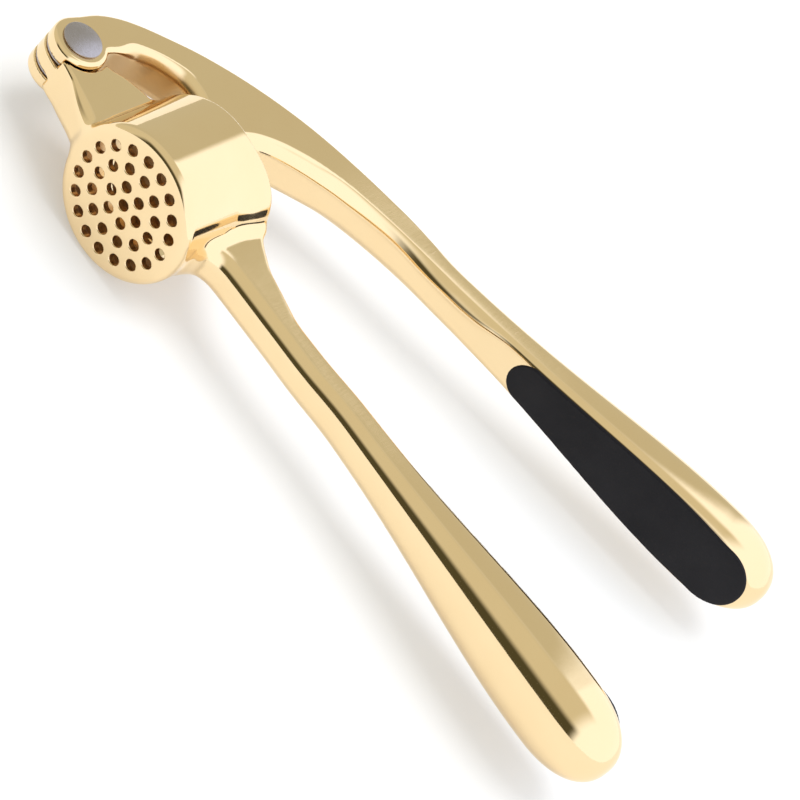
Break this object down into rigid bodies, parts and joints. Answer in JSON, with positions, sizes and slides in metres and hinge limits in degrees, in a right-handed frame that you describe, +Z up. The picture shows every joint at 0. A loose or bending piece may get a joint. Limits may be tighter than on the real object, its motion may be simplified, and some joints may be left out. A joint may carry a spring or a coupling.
{
  "type": "garlic press",
  "caption": "Hand garlic press: perforated round basket, swinging plunger, long rounded handles with soft inserts, shown part open on its side.",
  "frame": {"origin": "middle of the bounding box's underside; the press lies on its side, part open, as it is pictured", "axes": "+X from the rivet end to the handle tips, along the lower lever; +Y from the sieve face into the basket, towards the upper lever; +Z up, along the rivet"},
  "size_m": [0.1902, 0.0944, 0.0342],
  "materials": {
    "plated_casting": "polished",
    "rivet_steel": "satin",
    "soft_insert": "matte"
  },
  "bodies": {
    "basket_body": {"basket_lever": "plated_casting", "grip_pad_lower": "soft_insert", "pivot_washer_near": "rivet_steel", "pivot_washer_far": "rivet_steel"},
    "handle_body": {"plunger_lever": "plated_casting", "grip_pad_upper": "soft_insert", "pivot_rivet": "rivet_steel", "plunger_pin": "rivet_steel"},
    "plunger_body": {"plunger": "plated_casting"}
  },
  "joints": [
    {"name": "lever_hinge", "type": "hinge", "parent": "basket_body", "child": "handle_body", "pos_m": [-0.0886, -0.03389, 0.0171], "axis": [0, 0, 1], "range_deg": [-19, 130]},
    {"name": "plunger_swing", "type": "hinge", "parent": "handle_body", "child": "plunger_body", "pos_m": [-0.06005, -0.01359, 0.0171], "axis": [0, 0, 1], "range_deg": [-1.5, 1.5]}
  ]
}
